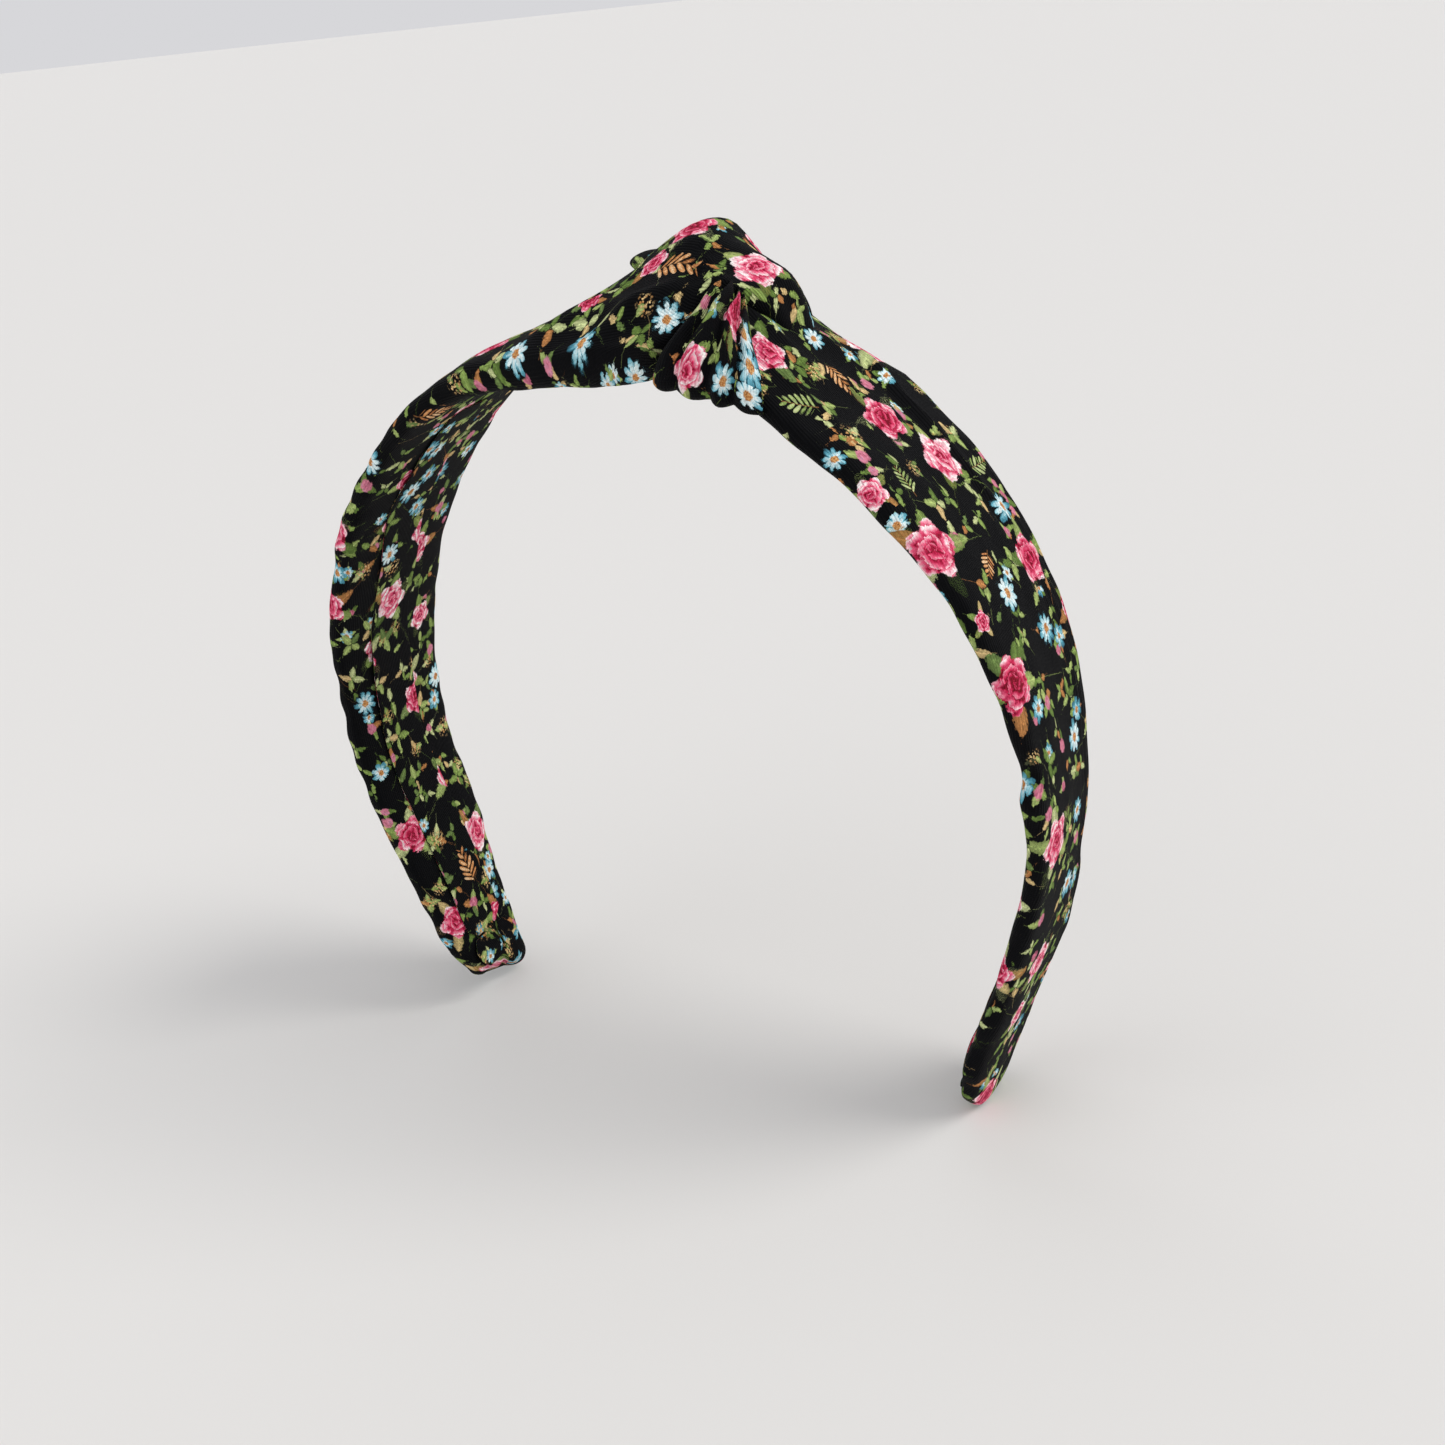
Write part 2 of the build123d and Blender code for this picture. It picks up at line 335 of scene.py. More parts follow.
def stamp(mesh, name, motifs, size):
    """Gives each face corner its place in the nearest motif: x and y in radii, and a seed."""
    uv = corners(mesh)
    motifs = np.array(motifs or [FAR_MOTIF])
    starts = np.zeros(len(mesh.polygons), np.int32)
    counts = np.zeros(len(mesh.polygons), np.int32)
    mesh.polygons.foreach_get("loop_start", starts)
    mesh.polygons.foreach_get("loop_total", counts)
    middle = np.add.reduceat(uv, starts, axis=0) / counts[:, None]
    nearest = np.zeros(len(middle), int)
    best = np.full(len(middle), 1e9)
    for k, (u, v, radius) in enumerate(motifs):
        far = np.hypot(middle[:, 0] - u, middle[:, 1] - v) / radius
        nearest = np.where(far < best, k, nearest)
        best = np.minimum(far, best)
    owner = np.repeat(nearest, counts)
    turn = owner * TURN_STEP
    off = (uv - motifs[owner, :2]) / (size * motifs[owner, 2:3])
    x = off[:, 0] * np.cos(turn) - off[:, 1] * np.sin(turn)
    y = off[:, 0] * np.sin(turn) + off[:, 1] * np.cos(turn)
    seed = (owner * SEED_STEP + 0.21) % 1.0
    set_corners(mesh, name, np.stack([x, y, seed], 1))


# -------- shader arithmetic
class Field:
    """An output of the shader tree being built, with arithmetic on it."""

    tree = None

    def __init__(self, socket):
        self.socket = socket

    def __add__(self, other):
        return calc("ADD", self, other)

    def __radd__(self, other):
        return calc("ADD", other, self)

    def __sub__(self, other):
        return calc("SUBTRACT", self, other)

    def __rsub__(self, other):
        return calc("SUBTRACT", other, self)

    def __mul__(self, other):
        return calc("MULTIPLY", self, other)

    def __rmul__(self, other):
        return calc("MULTIPLY", other, self)

    def __truediv__(self, other):
        return calc("DIVIDE", self, other)


def plug(socket, value):
    """Links or sets an input. A colour of three numbers is made opaque."""
    if isinstance(value, Field):
        Field.tree.links.new(value.socket, socket)
    elif isinstance(value, tuple):
        opaque = len(value) < len(socket.default_value)
        socket.default_value = (*value, 1) if opaque else value
    else:
        socket.default_value = value


def add_node(kind, settings=None, values=(), **inputs):
    """Node with its settings made, then its inputs filled in order or by name."""
    node = Field.tree.nodes.new(kind)
    for name, value in (settings or {}).items():
        setattr(node, name, value)
    for socket, value in zip(node.inputs, values):
        plug(socket, value)
    for name, value in inputs.items():
        plug(node.inputs[name], value)
    return node


def calc(operation, *values):
    return Field(add_node("ShaderNodeMath", {"operation": operation}, values).outputs[0])


def parts_of(vector):
    node = add_node("ShaderNodeSeparateXYZ", values=(vector,))
    return [Field(out) for out in node.outputs]


def joined(x, y, z=0.0):
    return Field(add_node("ShaderNodeCombineXYZ", X=x, Y=y, Z=z).outputs[0])


def vector_between(start, end):
    node = add_node("ShaderNodeVectorMath", {"operation": "SUBTRACT"}, (end, start))
    return Field(node.outputs[0])


def attribute(name):
    node = add_node("ShaderNodeAttribute", {"attribute_name": name})
    return Field(node.outputs["Vector"])


def remap(value, low, high, to_low=0.0, to_high=1.0):
    """Smooth step from one range to another."""
    settings = {"interpolation_type": "SMOOTHSTEP"}
    node = add_node("ShaderNodeMapRange", settings, (value, low, high, to_low, to_high))
    return Field(node.outputs[0])


def below(value, limit, soft):
    """1 where value is under the limit, with a soft edge."""
    return remap(calc("SUBTRACT", value, limit), -soft, soft, 1.0, 0.0)


def noise(vector, scale, detail=2.0):
    node = add_node("ShaderNodeTexNoise", Vector=vector, Scale=scale, Detail=detail)
    return Field(node.outputs[0])


def chance(vector):
    """Random number from 0 to 1 that depends on the vector only."""
    node = add_node("ShaderNodeTexWhiteNoise", {"noise_dimensions": "3D"}, Vector=vector)
    return Field(node.outputs["Value"])


def ramp(value, stops, constant=False):
    """Colour from a value, by stops of (position, colour)."""
    node = add_node("ShaderNodeValToRGB", Fac=value)
    node.color_ramp.interpolation = "CONSTANT" if constant else "LINEAR"
    elements = node.color_ramp.elements
    while len(elements) < len(stops):
        elements.new(0.5)
    for element, (position, colour) in zip(elements, stops):
        element.position = position
        element.color = (*colour, 1)
    return Field(node.outputs[0])


def mixed(base, over, share):
    """Base colour with that share of another colour over it."""
    node = add_node("ShaderNodeMix", {"data_type": "RGBA"})
    plug(node.inputs[0], share)
    plug(node.inputs[6], base)
    plug(node.inputs[7], over)
    return Field(node.outputs[2])


def scaled(vector, share):
    node = add_node("ShaderNodeVectorMath", {"operation": "SCALE"}, (vector,), Scale=share)
    return Field(node.outputs[0])


# -------- the printed flowers
# Colours are linear. A motif's own coordinates are in radii, and its seed is from 0 to 1.
BLACK = (0.0010, 0.0011, 0.0018)
# Softness of an edge that picks one thing or the other.
SHARP = 0.001
GREENS = [
    (0.0, (0.13, 0.21, 0.045)),
    (0.18, (0.25, 0.36, 0.09)),
    (0.38, (0.37, 0.47, 0.15)),
    (0.58, (0.54, 0.60, 0.28)),
    (0.72, (0.15, 0.23, 0.065)),
    (0.82, (0.48, 0.21, 0.07)),
    (0.92, (0.66, 0.48, 0.22)),
]


def polar(x, y):
    """Distance from the middle, and direction as a share of a full turn."""
    return calc("SQRT", x * x + y * y), calc("ARCTAN2", y, x) / math.tau + 0.5


def leaves(radius, turn, seed, count, inner, outer, width, share):
    """Ring of leaves that point outwards: mask and colour. Inner and outer say where they
    start and end, and share how many of them show."""
    slot = turn * count + seed * 7.0
    number = calc("FLOOR", slot)
    luck = chance(joined(number, seed * 91.0, float(count)))
    swing = (calc("FRACT", slot) - 0.5 + (luck - 0.5) * 0.35) * (math.tau / count)
    along = radius * calc("COSINE", swing)
    across = calc("ABSOLUTE", radius * calc("SINE", swing))
    reach = outer * (luck * 0.45 + 0.72)
    place_on = (along - inner) / (reach - inner)
    arch = calc("SQRT", calc("MAXIMUM", place_on * (1.0 - place_on), 0.0))
    belly = arch * (1.25 - place_on * 0.5)
    mask = below(across, belly * width, 0.02) * below(luck, share, SHARP)
    shade = chance(joined(number, seed * 57.0, 3.0))
    colour = ramp(shade, GREENS, constant=True)
    vein = below(across, 0.012 + belly * 0.02, 0.02)
    patch = noise(joined(along, across, seed * 9.0), 7.0)
    rim = remap(across / calc("MAXIMUM", belly * width, 0.01), 0.5, 1.0)
    light = 0.5 + patch * 0.75 + vein * 0.45 - rim * 0.25
    return mask, scaled(colour, light)


def rose(x, y, seed):
    """A rose about one unit in radius, with leaves round it: list of mask and colour."""
    wobble = noise(joined(x, y, seed * 13.0), 1.6, 3.0) - 0.5
    radius, turn = polar(x, y)
    near = radius + wobble * 0.34
    ring = near * 3.1 - turn + wobble * 0.7
    petal = calc("FRACT", turn * 3.0 + calc("FLOOR", ring) * 0.37 + seed)
    scallop = calc("ABSOLUTE", petal - 0.5)
    lip = calc("FRACT", ring + scallop * 0.5)
    light = lip * 0.52 + near * 0.62 - 0.12 + wobble * 0.5 + (seed - 0.5) * 0.3
    grain = noise(joined(x, y, seed * 5.0), 7.0) - 0.5
    light = light - below(scallop, 0.04, 0.06) * 0.3 + grain * 0.5
    lobe = calc("SINE", turn * (math.tau * 5) + seed * 40.0)
    light = light - below(lobe, -0.75, 0.2) * remap(near, 0.4, 0.8) * 0.35
    colour = ramp(light, [
        (0.0, (0.20, 0.004, 0.016)),
        (0.2, (0.52, 0.015, 0.07)),
        (0.42, (0.76, 0.10, 0.20)),
        (0.62, (0.88, 0.33, 0.42)),
        (0.8, (0.96, 0.66, 0.70)),
        (0.95, (1.0, 0.93, 0.90)),
    ])
    mask = below(near, lobe * 0.12 + 0.92, 0.03)
    foliage = leaves(radius, turn, seed, count=5, inner=0.62, outer=1.8, width=0.6, share=0.72)
    return [foliage, (mask, colour)]


def daisy(x, y, seed, petals=9.0):
    """A light blue daisy about one unit in radius, with an orange heart: list of mask and
    colour."""
    radius, turn = polar(x, y)
    slot = turn * petals + seed * 5.0
    luck = chance(joined(calc("FLOOR", slot), seed * 31.0, 5.0))
    off = calc("ABSOLUTE", calc("FRACT", slot) - 0.5)
    length = 0.78 + luck * 0.3 - off * off * 1.5
    mask = below(radius, length, 0.04)
    crease = below(off, 0.30 + (1.0 - radius) * 0.2, 0.10)
    grain = noise(joined(x, y, seed), 5.0) - 0.5
    tone = radius * 0.78 - 0.08 + luck * 0.35 + (seed - 0.5) * 0.35 - crease * 0.35 + grain * 0.5
    colour = ramp(tone, [
        (0.0, (0.74, 0.86, 0.86)),
        (0.2, (0.42, 0.68, 0.74)),
        (0.37, (0.13, 0.42, 0.52)),
        (0.62, (0.06, 0.23, 0.31)),
        (0.9, (0.02, 0.07, 0.10)),
    ])
    wobble = noise(joined(x, y, seed), 6.0) - 0.5
    heart = below(radius + wobble * 0.2, 0.27, 0.04)
    heart_colour = ramp(noise(joined(x, y, seed), 14.0), [
        (0.3, (0.20, 0.06, 0.02)),
        (0.5, (0.58, 0.24, 0.07)),
        (0.7, (0.75, 0.50, 0.22)),
    ])
    return [(mask, colour), (heart, heart_colour)]


def sprig(x, y, seed):
    """A sprig about one unit long each way, its leaves staggered along a stem, orange-brown or
    green: list of mask and colour."""
    side = calc("ABSOLUTE", y)
    slant = x + 0.16 * calc("SINE", x * 2.0 + seed * 9.0) - side * 0.75
    slot = slant * 2.7 + 0.25 * calc("SIGN", y)
    number = calc("FLOOR", slot)
    luck = chance(joined(number, calc("SIGN", y), seed * 37.0))
    off = calc("ABSOLUTE", calc("FRACT", slot) - 0.5)
    reach = (0.52 + luck * 0.16) * (1.0 - remap(x, 0.1, 1.1) * 0.5)
    along = side / reach
    belly = calc("SQRT", calc("MAXIMUM", along * (1.0 - along), 0.0)) * (0.5 + luck * 0.3)
    mask = below(off, belly, 0.05) * below(calc("ABSOLUTE", slant - 0.02), 0.95, 0.01)
    mask = mask * below(along, 1.0, 0.02)
    stem = below(side, 0.03, 0.02) * below(calc("ABSOLUTE", x), 1.0, 0.02)
    tone = luck * 0.6 + noise(joined(x, y, seed), 6.0) * 0.8 - off * 0.7
    orange = ramp(tone, [
        (0.15, (0.10, 0.035, 0.012)),
        (0.45, (0.42, 0.15, 0.045)),
        (0.75, (0.70, 0.34, 0.13)),
        (0.95, (0.82, 0.58, 0.34)),
    ])
    green = ramp(tone, [
        (0.15, (0.06, 0.10, 0.02)),
        (0.5, (0.26, 0.37, 0.10)),
        (0.9, (0.55, 0.61, 0.30)),
    ])
    colour = mixed(green, orange, below(seed, 0.4, SHARP))
    return [(stem, (0.20, 0.09, 0.03)), (mask, colour)]


def cells(u, v, size, shift):
    """Cell of an irregular grid: place in it, in the units of u and v, and three random
    numbers."""
    kind = {"voronoi_dimensions": "2D"}
    here = joined(u / size + shift, v / size + shift * 0.7)
    node = add_node("ShaderNodeTexVoronoi", kind, Vector=here, Scale=1.0, Randomness=0.72)
    off = scaled(vector_between(Field(node.outputs["Position"]), here), size)
    x, y, _ = parts_of(off)
    split = add_node("ShaderNodeSeparateColor", values=(Field(node.outputs["Color"]),))
    return x, y, [Field(out) for out in split.outputs]


def filling(u, v, size, shift, share):
    """Small motifs, one to a cell: sprays of leaves, with buds, blossom or tiny daisies on
    some. Share says how many of the cells are filled."""
    x, y, (kind, seed, tint) = cells(u, v, size, shift)
    x, y = x / (size * 0.46), y / (size * 0.46)
    radius, turn = polar(x, y)
    shown = below(kind, share, SHARP)
    spray = leaves(radius, turn, seed, count=4, inner=0.08, outer=1.0, width=0.43, share=0.66)
    wobble = noise(joined(x, y, seed * 3.0), 2.2) - 0.5
    bud = below(radius + wobble * 0.3, 0.34, 0.05)
    bud = bud * below(tint, 0.14, SHARP)
    bud_colour = ramp(noise(joined(x, y, seed * 8.0), 4.0) * 0.7 + tint * 0.9 - 0.05, [
        (0.1, (0.30, 0.02, 0.08)),
        (0.4, (0.66, 0.22, 0.30)),
        (0.6, (0.50, 0.28, 0.42)),
        (0.8, (0.84, 0.74, 0.62)),
    ])
    dot_x, dot_y, _ = cells(x * 10.0, y * 10.0, 2.4, 4.0)
    dots = below(polar(dot_x, dot_y)[0], 0.72, 0.2) * below(radius, 0.55, 0.2)
    dots = dots * below(calc("ABSOLUTE", tint - 0.86), 0.05, SHARP)
    dot_colour = ramp(noise(joined(x, y, seed), 3.0), [
        (0.35, (0.55, 0.26, 0.08)),
        (0.65, (0.86, 0.66, 0.32)),
    ])
    shows_daisy = below(calc("ABSOLUTE", tint - 0.62), 0.07, SHARP) * below(radius, 0.8, 0.02)
    small_daisy = daisy(x * 1.5, y * 1.5, seed, petals=7.0)
    layers = [spray, (bud, bud_colour), (dots, dot_colour)]
    layers += [(mask * shows_daisy, colour) for mask, colour in small_daisy]
    return [(mask * shown, colour) for mask, colour in layers]


def outside(x, y, reach):
    """1 away from a motif, 0 within its reach."""
    return 1.0 - below(calc("SQRT", x * x + y * y), reach, 0.05)


def printed_colour(u, v):
    """The whole print: filling, then sprigs, daisies and roses over it. Every thread shifts
    the edges of the motifs a little and has its own brightness."""
    thread = chance(joined(calc("FLOOR", u / 0.36), calc("FLOOR", v / 0.30), 1.0))
    jag = (thread - 0.5) * 0.34
    u, v = u + jag, v + jag * 0.6
    rose_x, rose_y, rose_seed = parts_of(attribute("rose"))
    daisy_x, daisy_y, daisy_seed = parts_of(attribute("daisy"))
    rose_x, rose_y = rose_x + jag * 0.26, rose_y - jag * 0.2
    daisy_x, daisy_y = daisy_x + jag * 0.3, daisy_y - jag * 0.24
    sprig_x, sprig_y, sprig_seed = parts_of(attribute("sprig"))
    off_roses = outside(rose_x, rose_y, 1.15)
    off_flowers = off_roses * outside(daisy_x, daisy_y, 1.0)
    off_all = off_flowers * outside(sprig_x, sprig_y, 1.0)
    colour = BLACK
    for size, shift, share in ((4.8, 3.0, 0.68), (6.8, 11.0, 0.84)):
        for mask, over in filling(u, v, size, shift, share):
            colour = mixed(colour, over, mask * off_all)
    for mask, over in sprig(sprig_x, sprig_y, sprig_seed):
        colour = mixed(colour, over, mask * off_flowers)
    for mask, over in daisy(daisy_x, daisy_y, daisy_seed):
        colour = mixed(colour, over, mask * off_roses)
    for mask, over in rose(rose_x, rose_y, rose_seed):
        colour = mixed(colour, over, mask)
    return scaled(colour, 0.85 + thread * 0.4)


# -------- materials
def new_material(name):
    """Material and its shader. The nodes made next go into its tree."""
    material = bpy.data.materials.new(name)
    material.use_nodes = True
    Field.tree = material.node_tree
    shader = Field.tree.nodes["Principled BSDF"]
    return material, shader


RIB_PITCH = 0.42
WEFT_PITCH = 0.34


def cotton():
    """Black ribbed cotton with the floral print."""
    material, shader = new_material("printed_cotton")
    u, v, _ = parts_of(attribute("cloth"))
    plug(shader.inputs["Base Color"], printed_colour(u, v))
    plug(shader.inputs["Roughness"], 0.78 + noise(joined(u, v), 0.8) * 0.14)
    shader.inputs["Specular IOR Level"].default_value = 0.10
    shader.inputs["Sheen Weight"].default_value = 0.006
    shader.inputs["Sheen Roughness"].default_value = 0.5
    rib = calc("SINE", (v + u * 0.12) * (math.tau / RIB_PITCH))
    cross = calc("SINE", u * (math.tau / WEFT_PITCH))
    crumple = noise(joined(u, v), 0.35, 4.0)
    height = rib * 0.11 + cross * 0.03 + crumple * 0.5
    bump_node = add_node("ShaderNodeBump", Strength=0.9, Distance=0.0005, Height=height)
    plug(shader.inputs["Normal"], Field(bump_node.outputs[0]))
    return material


def grained(name, light, dark, scale, rough, depth):
    """Plain material with grain in its colour, gloss and surface."""
    material, shader = new_material(name)
    where = Field(add_node("ShaderNodeTexCoord").outputs["Object"])
    grain = noise(where, scale, 5.0)
    plug(shader.inputs["Base Color"], ramp(grain, [(0.3, dark), (0.7, light)]))
    plug(shader.inputs["Roughness"], rough + grain * 0.2)
    bump_node = add_node("ShaderNodeBump", Strength=0.5, Distance=depth, Height=grain)
    plug(shader.inputs["Normal"], Field(bump_node.outputs[0]))
    return material


COTTON = cotton()
FOAM = grained("open_foam", (0.80, 0.77, 0.68), (0.52, 0.48, 0.40), 2600, 0.8, 0.0004)
GLUE = grained("hot_glue", (0.72, 0.62, 0.40), (0.50, 0.40, 0.22), 500, 0.25, 0.0002)
PLASTIC = grained(
    "springy_plastic", (0.020, 0.020, 0.022), (0.010, 0.010, 0.012), 1400, 0.42, 0.0001
)

# Usual radius of each motif, in mm, and how far apart scattered ones are.
ROSE, ROSE_SPACING = 3.3, 16.5
DAISY, DAISY_SPACING = 2.5, 14.0
SPRIG, SPRIG_SPACING = 3.0, 17.0


def dress(piece, material):
    """Gives a piece its only material, and the slot that stands for it."""
    piece.data.materials.clear()
    piece.data.materials.append(material)


def flowers(piece, roses=(), daisies=(), sprigs=(), seed=1):
    """Prints a piece: placed motifs as (u, v, radius in mm), and scattered ones elsewhere."""
    mesh = piece.data
    placed_roses = [(u, v, radius / ROSE) for u, v, radius in roses]
    placed_daisies = [(u, v, radius / DAISY) for u, v, radius in daisies]
    placed_sprigs = [(u, v, radius / SPRIG) for u, v, radius in sprigs]
    all_roses = scatter(mesh, placed_roses, ROSE_SPACING, seed, placed_daisies)
    all_daisies = scatter(mesh, placed_daisies, DAISY_SPACING, seed + 50, all_roses)
    flowers_so_far = all_roses + all_daisies
    all_sprigs = scatter(mesh, placed_sprigs, SPRIG_SPACING, seed + 90, flowers_so_far)
    stamp(mesh, "sprig", all_sprigs, SPRIG)
    stamp(mesh, "rose", all_roses, ROSE)
    stamp(mesh, "daisy", all_daisies, DAISY)
    dress(piece, COTTON)


# -------- the two long covers
# s, y, share of width, low, belly, top, shift of the top, tent, roll, boxiness
LEFT_STATIONS = [
    (-158.0, 0, 1.00, 0.0, 2.1, 4.2, 0, 0.00, 0, 3.6),
    (-60.0, 0, 1.00, 0.0, 2.1, 4.3, 0, 0.00, 0, 3.6),
    (-34.0, 0, 1.00, 0.0, 2.1, 4.3, 0, 0.00, 0, 3.4),
    (-22.0, 0, 1.00, -0.2, 2.1, 4.3, 0, 0.05, 0, 3.0),
    (-16.0, 0, 1.01, -0.6, 2.1, 4.3, 0, 0.12, -0.2, 2.7),
    (-11.0, -0.2, 1.02, -1.0, 2.2, 4.7, 0, 0.20, -0.3, 2.6),
    (-6.0, -0.5, 1.03, -1.2, 2.4, 6.1, 0.4, 0.28, -0.4, 2.5),
    (0.0, -0.5, 1.04, -1.6, 2.8, 9.6, 1.6, 0.42, -0.5, 2.4),
    (4.5, -0.5, 1.04, -1.5, 3.4, 13.9, 2.6, 0.50, -0.4, 2.4),
    (8.0, -0.5, 1.04, -1.3, 3.8, 17.0, 3.2, 0.53, -0.2, 2.3),
    (10.0, -0.5, 1.04, -1.2, 4.1, 17.7, 3.2, 0.53, 0.2, 2.3),
    (12.5, 0.0, 0.96, -0.4, 4.8, 16.2, 2.4, 0.49, 1.0, 2.3),
    (15.0, 1.2, 0.78, 1.6, 6.6, 14.9, 1.0, 0.40, 2.6, 2.3),
    (17.0, 2.4, 0.66, 2.6, 7.0, 13.9, 0.0, 0.36, 3.1, 2.3),
    (19.0, 3.6, 0.56, 2.8, 6.6, 12.9, -1.0, 0.33, 3.0, 2.3),
    (21.0, 4.4, 0.48, 2.4, 5.7, 11.0, -1.7, 0.32, 2.7, 2.3),
    (23.0, 4.8, 0.41, 1.9, 4.5, 8.0, -1.9, 0.31, 1.9, 2.3),
    (24.8, 5.0, 0.34, 1.6, 3.5, 5.2, -1.6, 0.30, 1.2, 2.3),
    (26.0, 5.2, 0.26, 1.4, 2.6, 3.8, -0.8, 0.30, 0.5, 2.3),
    (26.8, 5.8, 0.15, 1.5, 2.3, 3.1, 0, 0.30, 0, 2.3),
]
RIGHT_STATIONS = [
    (9.0, -1, 0.60, 0.6, 3.0, 6.0, 0, 0.10, 0, 2.4),
    (13.0, -1.4, 0.80, 0.2, 3.6, 9.0, -2.0, 0.30, 0, 2.4),
    (17.0, -1.4, 0.92, 0.0, 3.6, 10.0, -2.5, 0.36, 0.1, 2.4),
    (20.0, -1.0, 0.98, 0.0, 3.2, 8.9, -2.5, 0.34, 0.2, 2.5),
    (23.5, -0.4, 1.00, 0.0, 2.8, 7.1, -2.0, 0.27, 0.2, 2.6),
    (28.0, 0, 1.00, 0.0, 2.4, 5.5, -1.2, 0.18, 0.1, 2.8),
    (34.0, 0, 1.00, 0.0, 2.1, 4.5, 0, 0.08, 0, 3.1),
    (44.0, 0, 1.00, 0.0, 2.1, 4.3, 0, 0.00, 0, 3.6),
    (60.0, 0, 1.00, 0.0, 2.1, 4.2, 0, 0.00, 0, 3.6),
    (163.0, 0, 1.00, 0.0, 2.1, 4.2, 0, 0.00, 0, 3.6),
]


def stations_to_tip(stations, side):
    """The stations, with the outermost one moved to the arm's real tip."""
    tip = run_to(side)
    if side == "left":
        return [(-tip, *stations[0][1:])] + stations[1:]
    return stations[:-1] + [(tip, *stations[-1][1:])]


def edge_share(y):
    """How near each point of a grid is to its row's edge: 0 in the middle, 1 at the edge."""
    return np.abs(y) / np.abs(y).max(axis=1, keepdims=True)


def pucker(grid, seed):
    """Small wrinkles of a cloth tube drawn over a padded band, strongest at its edges."""
    s, y, h = grid["s"], grid["y"], grid["h"]
    edge = ease(edge_share(y), 0.55, 1.0)
    outer = ease(h, 1.0, 3.0)
    rolls = waves(s, y, 7.0, seed, 0.25) * edge * 0.12
    broad = waves(s, y, 22.0, seed + 1, 0.6) * 0.14
    drag = waves(y, s * 0.12, 5.5, seed + 2) * outer * 0.09
    return rolls + broad + drag


def wavy_edges(grid, seed, depth):
    """Lets the cover's width wander a little along its length, differently at each edge."""
    s, y = grid["s"], grid["y"]
    front, back = (
        waves(s, 0 * s, 15.0, first) + 0.5 * waves(s, 0 * s, 6.0, first + 1)
        for first in (seed, seed + 2)
    )
    return edge_share(y) ** 3 * np.where(y < 0, -front, back) * depth


def finished(name, grid, displacement):
    """A cover's mesh, with its surface moved outwards by the displacement."""
    points = place(grid["s"], grid["y"], grid["h"])
    points = points + normals(points) * displacement[..., None]
    points[:, -1] = points[:, 0]
    cloth = np.stack([grid["u"], grid["v"]], -1)
    return cloth_mesh(name, points, cloth)


def spots(grid, *marks):
    """Motifs' places on the cloth, as (u, v, radius). Each mark is a point beside the motif in
    band coordinates, and the motif's radius."""
    found = []
    for s, y, h, radius in marks:
        far = (grid["s"] - s) ** 2 + (grid["y"] - y) ** 2 + (grid["h"] - h) ** 2
        i, j = np.unravel_index(np.argmin(far), far.shape)
        found.append((grid["u"][i, j], grid["v"][i, j], radius))
    return found


def left_cover():
    """Sleeve of the left arm, which rises into the knot and makes its peak."""
    grid = tube(stations_to_tip(LEFT_STATIONS, "left"), "left")
    s, y, h = grid["s"], grid["y"], grid["h"]
    on_arm = 1 - ease(s, -26, -10)
    y += wavy_edges(grid, 11, 0.20) * on_arm
    y -= draw_in(s, "left") * ease(y, -2, 7)
    # The folded end has two lobes, and the back one reaches further down.
    near_tip = ease(8 - grid["from_tip"], 0, 8)
    s += 1.1 * bump(y, -1.2, 1.2) * near_tip - 3.8 * ease(y, -6.5, 4) * near_tip
    # The cloth hangs below the band's front edge beside the knot.
    hang = ease(s, -36, -10) * (1 - ease(s, 11, 15))
    h -= 3.5 * hang * ease(-y, 8, 16) * ease(3.0 - h, 0, 4)
    fold = pucker(grid, 21) * np.minimum(1, 0.35 + on_arm)
    # Pleats run slantwise up the knot.
    knot = ease(s, -24, 2) * (1 - ease(s, 24, 28)) * ease(h, 1, 4)
    across = grid["v"] - 0.42 * s
    pleats = 0.42 * np.abs(np.sin(across / 2.9)) + 0.30 * waves(across, s * 0.2, 6.0, 5)
    fold = fold + knot * pleats
    # A groove rises towards the knot across the front.
    groove = bump(h - (2.0 + 0.30 * (s + 14)), 0, 1.3)
    fold = fold - 1.1 * groove * ease(s, -16, -2) * (1 - ease(s, 6, 12)) * (y < 0)
    # A valley with a roll in front of it parts the top loop from the strand below.
    valley = y - np.interp(s, [8, 10, 13.6, 17], [0.5, -3.2, -8.0, -9.2])
    on_loop = ease(s, 9.5, 12.5) * (1 - ease(s, 16.5, 18.5)) * ease(h, 6, 9)
    fold = fold + on_loop * (0.6 * bump(valley, -3.2, 2.0) - 1.2 * bump(valley, 0, 1.0))
    piece = finished("left_cover", grid, fold * ease(grid["from_tip"], 0, 3))
    roses = spots(
        grid,
        (8.5, -0.5, 17, 3.4), (17, -2.5, 14, 3.7), (6, -6, 12, 2.3), (-1, -10.5, 7.5, 2.0),
        (-46, 7, 4, 3.8), (-61, -13.5, 3, 3.9), (-86, -8, 4, 3.8), (-107, -1.5, 0, 4.2),
        (-124, -8.5, 0, 3.7), (-132, 7, 0, 3.8), (-143.5, -8, 0, 3.4), (-19.5, -9, 4.5, 3.7),
    )
    daisies = spots(
        grid,
        (11, -14, 7, 2.9), (1, -17.5, 3, 2.9), (-30, 10, 4.5, 2.6), (-120, -3.5, 0, 2.5),
        (-144, 3.5, 0, 2.5), (-10.5, -16.5, 2.5, 2.5),
    )
    sprigs = spots(grid, (9.5, -7.5, 12.5, 3.4), (-52, 0, 4, 2.8))
    flowers(piece, roses, daisies, sprigs, seed=3)
    return piece


